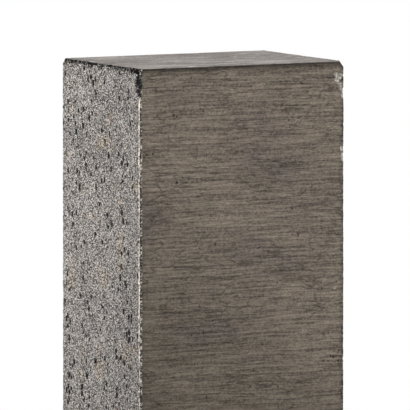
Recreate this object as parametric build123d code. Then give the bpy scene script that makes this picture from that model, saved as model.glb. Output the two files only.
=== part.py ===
from build123d import *
from math import hypot, sqrt
import os

# Precast concrete post of rectangular section, standing on end, with the
# reinforcement cage that is cast into it. It was cast lying down with X upright
# in the mould, so the two narrow faces (at -X and +X) are the open-textured ones
# and the two broad faces (at -Y and +Y) and both ends slid along the mould walls.
#
# Frame: millimetres, +Z up the post, +X across the broad face, -Y the front.
# The origin is the middle of the bottom end. The bottom end rests on z = 0.

# --- Concrete -----------------------------------------------------------------
WIDTH = 165.0  # along X, across the broad faces
DEPTH = 120.0  # along Y, across the narrow faces
HEIGHT = 1000.0  # along Z
ARRIS_RADIUS = 1.5  # wear rounding of the four long edges

# --- Reinforcement ------------------------------------------------------------
COVER = 25.0  # concrete outside the links
END_COVER = 25.0  # concrete past each end of the main bars
BAR_DIAMETER = 8.0  # main bars, one in each corner of the cage
LINK_DIAMETER = 6.0  # closed, butt-welded links
LINK_BEND_RADIUS = 12.0  # inside radius of a link's corners
LINK_COUNT = 6
LINK_END_DISTANCE = 45.0  # end face to the middle of the outermost link
BAR_TO_LINK_GAP = 0.5  # a main bar lies this near to the bend that it is tied to

# --- Tie wire -----------------------------------------------------------------
TIE_DIAMETER = 1.2
TIE_GAP = 0.6  # least distance from a tie's loop to the steel inside it
TAIL_LENGTH = 14.0  # twisted ends of a tie, past its loop
TAIL_DIAMETER = 2.0 * TIE_DIAMETER  # two wires twisted round each other

# --- Spacers that keep the cage off the mould floor, at the +X face ------------
SPACER_THICKNESS = 8.0  # along the link that it clips to
SPACER_SPREAD = 26.0  # over both feet, along Z
SPACER_LEG = 4.0  # width of a foot
SPACER_WALL = 2.5  # ring of the clip round the link
SPACER_SHOULDER = 8.8  # over the legs where they leave the clip, along Z
SPACER_MOUTH = 4.6  # opening that snaps over the link
SPACER_END_GAP = 1.0  # from a spacer to where its link starts to bend
SPACER_LINKS = (1, LINK_COUNT - 2)  # the links that carry spacers
CLIP_FIT = 0.05  # between a clip and its link

# --- Between cast-in pieces and the concrete round them ------------------------
BOND_GAP = 0.1

# --- What follows from those sizes ----------------------------------------------
bar_radius = BAR_DIAMETER / 2
link_radius = LINK_DIAMETER / 2
tie_radius = TIE_DIAMETER / 2
bend_line_radius = LINK_BEND_RADIUS + link_radius
link_span_x = WIDTH - 2 * COVER - LINK_DIAMETER
link_span_y = DEPTH - 2 * COVER - LINK_DIAMETER
link_pitch = (HEIGHT - 2 * LINK_END_DISTANCE) / (LINK_COUNT - 1)
link_levels = [LINK_END_DISTANCE + link_pitch * index for index in range(LINK_COUNT)]
bend_centre_x = link_span_x / 2 - bend_line_radius
bend_centre_y = link_span_y / 2 - bend_line_radius
spacer_offset = bend_centre_y - SPACER_THICKNESS / 2 - SPACER_END_GAP

# A main bar and a link's bend are stacked along the corner's diagonal, and the
# tie's loop goes round both. These are distances along that diagonal, outwards
# from the bend's centre.
bar_reach = LINK_BEND_RADIUS - bar_radius - BAR_TO_LINK_GAP
stack_inner = bar_reach - bar_radius
stack_outer = bend_line_radius + link_radius
tie_reach = (stack_inner + stack_outer) / 2

# The loop's plane crosses the bar and the link at 45 degrees, so it cuts each
# of them in an ellipse that is longer than the wire by the square root of two.
bar_from_loop_centre = tie_reach - bar_reach
bar_ellipse_reach = sqrt(2) * hypot(bar_radius, bar_from_loop_centre)
steel_reach = max((stack_outer - stack_inner) / 2, bar_ellipse_reach)
tie_loop_radius = steel_reach + TIE_GAP + tie_radius

UPRIGHT = (Align.CENTER, Align.CENTER, Align.MIN)  # a solid stands on its own plane
CORNERS = {
    "front_left": (-1, -1),
    "front_right": (1, -1),
    "back_left": (-1, 1),
    "back_right": (1, 1),
}


def main_bar(side_x: int, side_y: int, clearance: float = 0.0) -> Part:
    """One straight bar in a corner of the cage."""
    diagonal = bar_reach / sqrt(2)
    x = side_x * (bend_centre_x + diagonal)
    y = side_y * (bend_centre_y + diagonal)
    length = HEIGHT - 2 * END_COVER + 2 * clearance
    return Pos(x, y, HEIGHT / 2) * Cylinder(bar_radius + clearance, length)


def link(level: float, clearance: float = 0.0) -> Part:
    """One closed link round the four bars, with a round bend at each corner."""
    outline = RectangleRounded(link_span_x, link_span_y, bend_line_radius)
    path = (Pos(0, 0, level) * outline).wire()
    section = Plane(path @ 0, z_dir=path % 0) * Circle(link_radius + clearance)
    return sweep(section, path=path)


def tie(side_x: int, side_y: int, level: float, clearance: float = 0.0) -> Part:
    """The loop and the twisted tail of the wire that ties one bar to one link."""
    outwards = Vector(side_x, side_y, 0).normalized()
    along_link = Vector(-side_y, side_x, 0).normalized()
    loop_normal = (Vector(0, 0, 1) - along_link).normalized()
    bend_centre = Vector(side_x * bend_centre_x, side_y * bend_centre_y, level)
    loop_plane = Plane(bend_centre + outwards * tie_reach, x_dir=outwards, z_dir=loop_normal)
    loop = loop_plane * Torus(tie_loop_radius, tie_radius + clearance)
    tail_root = bend_centre + outwards * (tie_reach - tie_loop_radius)
    tail_plane = Plane(tail_root, z_dir=-outwards)
    tail = Cylinder(TAIL_DIAMETER / 2 + clearance, TAIL_LENGTH + clearance, align=UPRIGHT)
    return loop + tail_plane * tail


def spacer(side_y: int, level: float, clearance: float = 0.0) -> Part:
    """One plastic chair: a clip on the link's +X leg, on two feet at the +X face."""
    link_x = link_span_x / 2
    to_face = WIDTH / 2 - link_x
    clip_radius = link_radius + SPACER_WALL
    shoulder_half = SPACER_SHOULDER / 2
    foot_half = SPACER_SPREAD / 2
    window_half = foot_half - SPACER_LEG
    corners = [(0, -shoulder_half), (to_face, -foot_half), (to_face, foot_half), (0, shoulder_half)]
    outer = Polygon(*corners, align=None)
    window_top = (clip_radius + SPACER_LEG, 0)
    window = Polygon(window_top, (to_face, -window_half), (to_face, window_half), align=None)
    profile = Circle(clip_radius) + (outer - window)
    if clearance:
        profile = offset(profile, amount=clearance, kind=Kind.INTERSECTION)
    else:
        groove = Circle(link_radius + CLIP_FIT)
        mouth = Pos(-clip_radius, 0) * Rectangle(2 * clip_radius, SPACER_MOUTH)
        profile = profile - groove - mouth
    place = Plane((link_x, side_y * spacer_offset, level), x_dir=(1, 0, 0), z_dir=(0, -1, 0))
    return extrude(place * profile, amount=SPACER_THICKNESS / 2 + clearance, both=True)


def concrete(cast_in: list[Part]) -> Part:
    """The concrete: a plain block without the space of the pieces cast into it."""
    block = Box(WIDTH, DEPTH, HEIGHT, align=UPRIGHT)
    block = fillet(block.edges().filter_by(Axis.Z), ARRIS_RADIUS)
    return block - cast_in


pieces = {}
voids = []

for corner, (side_x, side_y) in CORNERS.items():
    pieces[f"bar_{corner}"] = main_bar(side_x, side_y)
    voids.append(main_bar(side_x, side_y, BOND_GAP))

for number, level in enumerate(link_levels, start=1):
    pieces[f"link_{number}"] = link(level)
    voids.append(link(level, BOND_GAP))
    ties = [tie(side_x, side_y, level) for side_x, side_y in CORNERS.values()]
    pieces[f"tie_wires_{number}"] = Compound(children=ties)
    voids += [tie(side_x, side_y, level, BOND_GAP) for side_x, side_y in CORNERS.values()]

for place, index in zip(("lower", "upper"), SPACER_LINKS):
    for side, side_y in (("front", -1), ("back", 1)):
        pieces[f"spacer_{place}_{side}"] = spacer(side_y, link_levels[index])
        voids.append(spacer(side_y, link_levels[index], BOND_GAP))

pieces["concrete_body"] = concrete(voids)

os.makedirs("parts", exist_ok=True)
for name, piece in pieces.items():
    export_step(piece, f"parts/{name}.step")
    print(name, "solids", len(piece.solids()), "volume", round(piece.volume))
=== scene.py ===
"""The look of a rectangular precast concrete post and of the steel cage cast into it.

The concrete is grown from a fine box lattice: its arrises are rounded, its faces roughened, and
air holes and chips are bitten out of it with seeded noise, then the mesh is thinned to what its
shape needs. The narrow faces (-X, +X) are open-textured. The broad faces (-Y, +Y) and the ends
carry the marks of the mould that slid off them along X.
"""

import logging
import math
from collections.abc import Sequence
from dataclasses import dataclass
from enum import Enum

import bpy
import numpy as np
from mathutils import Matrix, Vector


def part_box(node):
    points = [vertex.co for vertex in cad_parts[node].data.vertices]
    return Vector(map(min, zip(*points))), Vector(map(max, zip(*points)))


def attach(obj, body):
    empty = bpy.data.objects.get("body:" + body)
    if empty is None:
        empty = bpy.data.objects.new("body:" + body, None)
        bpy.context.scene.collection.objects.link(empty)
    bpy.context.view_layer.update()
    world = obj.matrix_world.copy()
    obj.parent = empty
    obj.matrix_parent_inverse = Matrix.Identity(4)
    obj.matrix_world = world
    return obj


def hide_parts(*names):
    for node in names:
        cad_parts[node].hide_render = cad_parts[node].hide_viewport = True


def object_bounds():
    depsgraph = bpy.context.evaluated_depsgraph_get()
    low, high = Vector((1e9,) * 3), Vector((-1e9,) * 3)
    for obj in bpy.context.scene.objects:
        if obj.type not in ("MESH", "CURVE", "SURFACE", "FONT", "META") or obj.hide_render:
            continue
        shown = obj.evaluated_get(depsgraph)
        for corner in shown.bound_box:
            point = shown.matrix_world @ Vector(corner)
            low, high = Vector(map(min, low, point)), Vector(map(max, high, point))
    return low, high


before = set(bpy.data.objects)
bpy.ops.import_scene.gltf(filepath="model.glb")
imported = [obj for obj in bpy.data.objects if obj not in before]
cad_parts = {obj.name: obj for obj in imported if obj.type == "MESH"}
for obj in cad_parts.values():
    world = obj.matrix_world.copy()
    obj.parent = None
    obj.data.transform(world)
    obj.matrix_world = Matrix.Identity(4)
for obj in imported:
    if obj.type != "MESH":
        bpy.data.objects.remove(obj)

CAD_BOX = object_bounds()
BODY = "root"
MM = 0.001
NOISE_MIDDLE = 0.5
Colour = tuple[float, float, float]
Paint = Colour | bpy.types.NodeSocket
Sizes = tuple[float, ...]
Span = tuple[float, float]
log = logging.getLogger("post")


class Slot(Enum):
    """The record's material slots."""

    CONCRETE = "concrete"
    STEEL = "reinforcing_steel"
    TIE_WIRE = "tie_wire"
    PLASTIC = "spacer_plastic"


def mm(*sizes: float) -> Sizes:
    """Sizes along X, Y and Z in metres, from millimetres or from one for all three."""
    return tuple(size * MM for size in (sizes * 3 if len(sizes) == 1 else sizes))


# --- Shader expressions --------------------------------------------------------------------


@dataclass(frozen=True)
class Rise:
    """An eased rise or fall of a value between two thresholds."""

    low: float
    high: float
    start: float = 0.0
    end: float = 1.0


@dataclass(frozen=True)
class Clouds:
    """Cloudy noise: the size of its largest clouds, its finer layers and their share."""

    cell: Sizes
    detail: float = 2.0
    share: float = 0.5
    warp: float = 0.0


class Value:
    """A node's number output that takes part in Python sums, adding Math nodes."""

    def __init__(self, graph: "Graph", socket: bpy.types.NodeSocket) -> None:
        """Wrap a socket.

        Args:
            graph: The graph that the socket is in.
            socket: The output socket to wrap.
        """
        self.graph = graph
        self.socket = socket

    def _math(self, operation: str, *operands: "Value | float") -> "Value":
        """Add one Math node.

        Args:
            operation: The Math node's operation.
            operands: Its inputs in order, as values or numbers.

        Returns:
            The node's result.
        """
        inputs = dict(enumerate(operands))
        node = self.graph.node("ShaderNodeMath", {"operation": operation}, inputs)
        return Value(self.graph, node.outputs[0])

    def __add__(self, other: "Value | float") -> "Value":
        """Sum."""
        return self._math("ADD", self, other)

    def __radd__(self, other: float) -> "Value":
        """Sum, with a number first."""
        return self._math("ADD", other, self)

    def __sub__(self, other: "Value | float") -> "Value":
        """Difference."""
        return self._math("SUBTRACT", self, other)

    def __rsub__(self, other: float) -> "Value":
        """Difference, with a number first."""
        return self._math("SUBTRACT", other, self)

    def __mul__(self, other: "Value | float") -> "Value":
        """Product."""
        return self._math("MULTIPLY", self, other)

    def __rmul__(self, other: float) -> "Value":
        """Product, with a number first."""
        return self._math("MULTIPLY", other, self)

    def between(self, start: float, end: float) -> "Value":
        """The number that lies this share of the way from start to end."""
        return start + self * (end - start)

    def eased(self, rise: Rise) -> "Value":
        """Rise or fall smoothly between two thresholds.

        Args:
            rise: The thresholds, and the results before the first and after the second.

        Returns:
            The eased result.
        """
        inputs = {"Value": self, "From Min": rise.low, "From Max": rise.high}
        inputs |= {"To Min": rise.start, "To Max": rise.end}
        settings = {"interpolation_type": "SMOOTHSTEP", "clamp": True}
        node = self.graph.node("ShaderNodeMapRange", settings, inputs)
        return Value(self.graph, node.outputs["Result"])

    def size(self) -> "Value":
        """The value without its sign."""
        return self._math("ABSOLUTE", self)

    def larger(self, other: "Value | float") -> "Value":
        """The larger of the two."""
        return self._math("MAXIMUM", self, other)

    def smaller(self, other: "Value | float") -> "Value":
        """The smaller of the two."""
        return self._math("MINIMUM", self, other)


class Graph:
    """The node graph of one new material or world, ending in its shader."""

    def __init__(self, owner: bpy.types.Material | bpy.types.World, shader: str, place: str) -> None:
        """Start the graph.

        Args:
            owner: The material or world.
            shader: The name of its shader node.
            place: The coordinates that its textures follow.
        """
        owner.use_nodes = True
        self.owner = owner
        self.tree = owner.node_tree
        self.shader = self.tree.nodes[shader]
        self.place = self.node("ShaderNodeTexCoord", {}, {}).outputs[place]

    @classmethod
    def of_material(cls, name: str) -> "Graph":
        """The graph of a new material with this name."""
        return cls(bpy.data.materials.new(name), "Principled BSDF", "Object")

    def node(self, kind: str, settings: dict, inputs: dict) -> bpy.types.Node:
        """Add any node.

        Args:
            kind: The node's type name.
            settings: Its properties, set first.
            inputs: Values or links of its sockets, by socket name or number.

        Returns:
            The new node.
        """
        made = self.tree.nodes.new(kind)
        for name, value in settings.items():
            setattr(made, name, value)
        self.feed(made, inputs)
        return made

    def feed(self, node: bpy.types.Node, inputs: dict) -> None:
        """Set or link a node's sockets.

        Args:
            node: The node to feed.
            inputs: Values or links of its sockets, by socket name or number.
        """
        for name, value in inputs.items():
            socket = node.inputs[name]
            if isinstance(value, Value):
                self.tree.links.new(value.socket, socket)
            elif isinstance(value, bpy.types.NodeSocket):
                self.tree.links.new(value, socket)
            else:
                socket.default_value = value

    def axes(self) -> list[Value]:
        """The place on the object along X, Y and Z."""
        parts = self.node("ShaderNodeSeparateXYZ", {}, {0: self.place})
        return [Value(self, parts.outputs[i]) for i in range(3)]

    def in_cells(self, cell: Sequence[float],
                 place: bpy.types.NodeSocket | None = None) -> bpy.types.NodeSocket:
        """The place on the object, counted in cells.

        Args:
            cell: The size of one cell along X, Y and Z, in metres.
            place: The place to count, or None for the object's own.

        Returns:
            The scaled vector socket.
        """
        scale = [1.0 / size for size in cell]
        inputs = {0: place or self.place, 1: scale}
        return self.node("ShaderNodeVectorMath", {"operation": "MULTIPLY"}, inputs).outputs[0]

    def noise(self, clouds: Clouds, place: bpy.types.NodeSocket | None = None) -> Value:
        """Cloudy noise.

        Args:
            clouds: Its sizes and layers.
            place: The place that it follows, or None for the object's own.

        Returns:
            The noise, about 0 to 1 with its middle at 0.5.
        """
        inputs = {"Vector": self.in_cells(clouds.cell, place), "Scale": 1.0}
        inputs |= {"Detail": clouds.detail, "Roughness": clouds.share, "Distortion": clouds.warp}
        return Value(self, self.node("ShaderNodeTexNoise", {}, inputs).outputs["Fac"])

    def grains(self, cell: Sequence[float]) -> tuple[Value, Value]:
        """Scattered cells.

        Args:
            cell: The mean size of a cell along X, Y and Z, in metres.

        Returns:
            The distance to the nearest centre, in cells, and a random number from 0 to 1 that is the
            same all over a cell.
        """
        inputs = {"Vector": self.in_cells(cell), "Scale": 1.0}
        made = self.node("ShaderNodeTexVoronoi", {}, inputs)
        parts = self.node("ShaderNodeSeparateColor", {}, {0: made.outputs["Color"]})
        return Value(self, made.outputs["Distance"]), Value(self, parts.outputs[0])

    def colour_mix(self, factor: Value | float, first: Paint, second: Paint) -> bpy.types.NodeSocket:
        """Mix two colours.

        Args:
            factor: The share of the second.
            first: The first colour, as three numbers or a socket.
            second: The second colour, as three numbers or a socket.

        Returns:
            The mixed colour's socket.
        """
        colours = [(*c, 1.0) if isinstance(c, tuple) else c for c in (first, second)]
        settings = {"data_type": "RGBA", "clamp_factor": True}
        return self.node("ShaderNodeMix", settings, {0: factor, 6: colours[0], 7: colours[1]}).outputs[2]

    def tinted(self, colour: Paint, tone: Value) -> bpy.types.NodeSocket:
        """Make a colour lighter or darker.

        Args:
            colour: The colour, as three numbers or a socket.
            tone: What each of its channels is multiplied by.

        Returns:
            The toned colour's socket.
        """
        inputs = {0: colour, "Scale": tone}
        return self.node("ShaderNodeVectorMath", {"operation": "SCALE"}, inputs).outputs[0]

    def bump(self, height: Value, depth: float) -> bpy.types.NodeSocket:
        """Tilt the surface as a relief would.

        Args:
            height: The relief, in units of depth.
            depth: The height that 1 stands for, in metres.

        Returns:
            The normal's socket.
        """
        inputs = {"Height": height, "Distance": depth}
        return self.node("ShaderNodeBump", {}, inputs).outputs["Normal"]

    def finish(self, **sockets: object) -> bpy.types.Material | bpy.types.World:
        """Feed the shader.

        Args:
            sockets: Values or links by the shader's socket names, with _ for a space.

        Returns:
            The finished material or world.
        """
        self.feed(self.shader, {name.replace("_", " "): value for name, value in sockets.items()})
        return self.owner


# --- Finishes ------------------------------------------------------------------------------


@dataclass(frozen=True)
class OpenTexture:
    """The sand, pebbles and fine air holes of a face that no mould slid along."""

    sand: Sizes = mm(0.75, 0.8625, 0.675)
    sand_darkest: float = 0.11
    sand_contrast: float = 2.4
    sand_height: float = 2.0
    pebble: Sizes = mm(2.0)
    pebble_share: Rise = Rise(0.90, 0.94)
    pebble_outline: Rise = Rise(0.28, 0.42, 1.0, 0.0)
    pebble_light: float = 0.8
    pebble_height: float = 0.4
    hole: Sizes = mm(3.4, 3.4, 4.59)
    hole_crowd: Clouds = Clouds(mm(14, 14, 26))
    hole_crowding: float = 0.8
    hole_share: Rise = Rise(1.19, 1.40)
    hole_radius: float = 0.72
    hole_outline: Clouds = Clouds(mm(1.5), share=0.6)
    hole_raggedness: float = 0.38
    hole_rim: Rise = Rise(-0.04, 0.0, 1.0, 0.0)
    hole_painted_shade: float = 0.96
    hole_depth: float = 2.2
    patch: Clouds = Clouds(mm(30), 3.0, 0.55)
    patch_tone: Span = (0.80, 1.20)

    def laid(self, graph: Graph) -> tuple[Value, Value]:
        """Lay the texture.

        Args:
            graph: The graph to build in.

        Returns:
            The tone, with painted shade in the air holes, and the height.
        """
        _, lot = graph.grains(self.sand)
        pebble_near, pebble_lot = graph.grains(self.pebble)
        pebble = pebble_lot.eased(self.pebble_share) * pebble_near.eased(self.pebble_outline)
        hole_near, hole_lot = graph.grains(self.hole)
        crowded = hole_lot + graph.noise(self.hole_crowd) * self.hole_crowding
        ragged = graph.noise(self.hole_outline) * self.hole_raggedness
        reach = crowded.eased(self.hole_share) * self.hole_radius - ragged
        hole = (hole_near - reach).eased(self.hole_rim)
        patch = graph.noise(self.patch).between(*self.patch_tone)
        tone = self.sand_darkest + lot * lot * self.sand_contrast + pebble * self.pebble_light
        # Painted shade: the air holes are darkened as the shade inside them would be.
        tone = tone * patch * (1.0 - hole * self.hole_painted_shade)
        height = lot * self.sand_height + pebble * self.pebble_height - hole * self.hole_depth
        return tone, height


@dataclass(frozen=True)
class DragMarks:
    """The marks along X that the mould left, with scores and groups of pinpricks."""

    sway: Clouds = Clouds(mm(55, 30, 30))
    sway_reach: float = 3.5 * MM
    flutter: Clouds = Clouds(mm(9, 5, 5))
    flutter_reach: float = 0.5 * MM
    long_mark: Clouds = Clouds(mm(60, 1.7, 1.7), share=0.6)
    short_mark: Clouds = Clouds(mm(21, 1.122, 1.122), share=0.65)
    mark_rise: Rise = Rise(0.3, 0.7)
    score: Clouds = Clouds(mm(24, 5.1, 5.1))
    score_width: Rise = Rise(0.0, 0.035, 1.0, 0.0)
    scored: Clouds = Clouds(mm(45, 30, 30))
    scored_rise: Rise = Rise(0.40, 0.60)
    grit: Sizes = mm(1.4, 1.0, 1.0)
    prick: Sizes = mm(2.4, 2.4, 2.9)
    prick_crowd: Clouds = Clouds(mm(17, 12, 12))
    prick_crowding: Rise = Rise(0.56, 0.72, 0.25, 1.0)
    prick_share: Rise = Rise(0.55, 1.0)
    prick_radius: float = 0.52
    prick_rim: Rise = Rise(-0.04, 0.0, 1.0, 0.0)
    darkest: float = 0.24
    long_light: float = 0.46
    short_light: float = 0.48
    grit_light: float = 0.56
    prick_painted_shade: float = 0.72
    score_painted_shade: float = 0.46
    mark_height: float = 0.4
    grit_height: float = 0.2
    prick_depth: float = 0.9
    score_depth: float = 0.6

    def laid(self, graph: Graph) -> tuple[Value, Value]:
        """Lay the marks.

        Args:
            graph: The graph to build in.

        Returns:
            The tone, with painted shade in the pinpricks and scores, and the height.
        """
        offset = graph.noise(self.sway) * self.sway_reach
        offset = offset + graph.noise(self.flutter) * self.flutter_reach
        shift = graph.node("ShaderNodeCombineXYZ", {}, {1: offset, 2: offset}).outputs[0]
        moved = graph.node("ShaderNodeVectorMath", {"operation": "ADD"}, {0: graph.place, 1: shift})
        moved = moved.outputs[0]
        long_mark = graph.noise(self.long_mark, moved).eased(self.mark_rise)
        short_mark = graph.noise(self.short_mark, moved).eased(self.mark_rise)
        course = (graph.noise(self.score, moved) - NOISE_MIDDLE).size()
        score = course.eased(self.score_width) * graph.noise(self.scored).eased(self.scored_rise)
        _, grit = graph.grains(self.grit)
        prick_near, prick_lot = graph.grains(self.prick)
        crowd = graph.noise(self.prick_crowd).eased(self.prick_crowding)
        reach = prick_lot.eased(self.prick_share) * crowd * self.prick_radius
        prick = (prick_near - reach).eased(self.prick_rim)
        tone = self.darkest + long_mark * self.long_light + short_mark * self.short_light
        tone = tone + grit * self.grit_light
        # Painted shade: the pinpricks and scores are darkened as the shade in them would be.
        tone = tone * (1.0 - prick * self.prick_painted_shade) * (1.0 - score * self.score_painted_shade)
        height = (long_mark + short_mark) * self.mark_height + grit * self.grit_height
        height = height - prick * self.prick_depth - score * self.score_depth
        return tone, height


@dataclass(frozen=True)
class EdgeWearAndShade:
    """The ragged gaps and pale fins along the arrises, painted shade and highlight, darker lower down."""

    side_rise: Rise = Rise(-0.2 * MM, 0.3 * MM)
    ragged: Clouds = Clouds(mm(2.2, 2.2, 4.2), 3.0, 0.75)
    torn: Clouds = Clouds(mm(2.2, 3.2, 1.8), 3.0, 0.65)
    torn_reach: float = 5.0 * MM
    front_highlight: Rise = Rise(-10 * MM, 10 * MM, 1.0, 0.10)
    left_highlight: Rise = Rise(-10 * MM, 10 * MM, 1.0, 0.15)
    side_fin_width: Rise = Rise(1.8 * MM, 2.6 * MM, 1.0, 0.0)
    side_fin_share: Rise = Rise(0.45, 0.52)
    face_fin_width: Rise = Rise(0.8 * MM, 2.4 * MM, 1.0, 0.0)
    face_fin_share: Rise = Rise(0.48, 0.56)
    face_gap_width: Rise = Rise(2.6 * MM, 4.2 * MM, 1.0, 0.0)
    face_gap_reach: float = 4.0 * MM
    face_gap_shade: float = 0.75
    side_gap_width: Rise = Rise(2.0 * MM, 3.0 * MM, 1.0, 0.0)
    side_gap_share: Rise = Rise(0.36, 0.42, 0.8, 0.0)
    end_gap_side: Rise = Rise(3.0 * MM, 4.0 * MM, 1.0, 0.0)
    end_gap_width: Rise = Rise(11.4 * MM, 12.6 * MM, 1.0, 0.0)
    end_gap_reach: float = 20.0 * MM
    top_edge_shadow: Rise = Rise(0.3 * MM, 6.0 * MM, 1.0, 0.0)
    top_edge_shadow_strength: float = 0.70
    top_band_shadow: Rise = Rise(6.0 * MM, 20.0 * MM, 1.0, 0.0)
    top_band_shadow_strength: float = 0.05
    arris_painted_shade: Rise = Rise(0.0, 5.0 * MM, 1.0, 0.0)
    arris_shade_strength: float = 0.22
    lower_darkening: Rise = Rise(90.0 * MM, 310.0 * MM)
    lower_darkening_slope: float = 0.8
    lower_darkening_strength: float = 0.34
    open_light_falloff: Rise = Rise(0.0, 300.0 * MM, 1.0, 0.86)

    def laid(self, graph: Graph, low: Vector, high: Vector) -> tuple[Value, Value, Value, Value]:
        """Lay the wear, the painted shade and the painted highlight.

        Args:
            graph: The graph to build in.
            low: The lowest corner of the block.
            high: The highest corner of the block.

        Returns:
            Painted gap shadow, the pale fins with painted highlight, and the faces' tones with painted shade.
        """
        x, y, z = graph.axes()
        in_x = high.x - x.size()
        in_y = high.y - y.size()
        in_z = (high.z - z).smaller(z - low.z)
        below = high.z - z
        on_side = (in_y - in_x).eased(self.side_rise)
        on_face = 1.0 - on_side
        ragged = graph.noise(self.ragged)
        torn = graph.noise(self.torn)

        torn_edge = in_y + (torn - NOISE_MIDDLE) * self.torn_reach
        side_fin = on_side * torn_edge.eased(self.side_fin_width) * ragged.eased(self.side_fin_share)
        face_fin = on_face * in_x.eased(self.face_fin_width) * torn.eased(self.face_fin_share)
        # Partly real paste, partly painted highlight: the pale fins stay full only on the front and left,
        # which face the key lamp.
        highlit_side = y.eased(self.front_highlight) * x.eased(self.left_highlight)

        # Painted shadow: the ragged gaps along the arrises and ends are darkened as the shade in them would
        # be.
        face_gap = on_face * (in_x + ragged * self.face_gap_reach).eased(self.face_gap_width)
        face_gap = face_gap * self.face_gap_shade * (1.0 - face_fin)
        side_gap = on_side * torn_edge.eased(self.side_gap_width) * ragged.eased(self.side_gap_share)
        end_gap = on_side * in_x.eased(self.end_gap_side)
        end_gap = end_gap * (in_z + torn * self.end_gap_reach).eased(self.end_gap_width)

        # The broad faces grow darker towards the bottom, sooner on the -X side.
        lower_darkening = (below - x * self.lower_darkening_slope).eased(self.lower_darkening) * self.lower_darkening_strength
        # Painted shadow: a dark line and a faint band on the broad faces just under the top edge.
        top_edge_shadow = below.eased(self.top_edge_shadow) * self.top_edge_shadow_strength
        top_band_shadow = below.eased(self.top_band_shadow) * self.top_band_shadow_strength
        # Painted shade: the broad faces darken within 5 mm of the long arrises, where the rounding turns from
        # the light.
        arris_painted_shade = in_x.eased(self.arris_painted_shade) * self.arris_shade_strength
        dark = face_gap.larger(end_gap).larger(side_gap)
        face_shade_and_tone = 1.0 - top_edge_shadow - top_band_shadow - arris_painted_shade - lower_darkening
        # Painted shade: the open faces darken down from the top as the lamps' light would fall off.
        return dark, side_fin.larger(face_fin) * highlit_side, face_shade_and_tone, below.eased(self.open_light_falloff)


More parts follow.
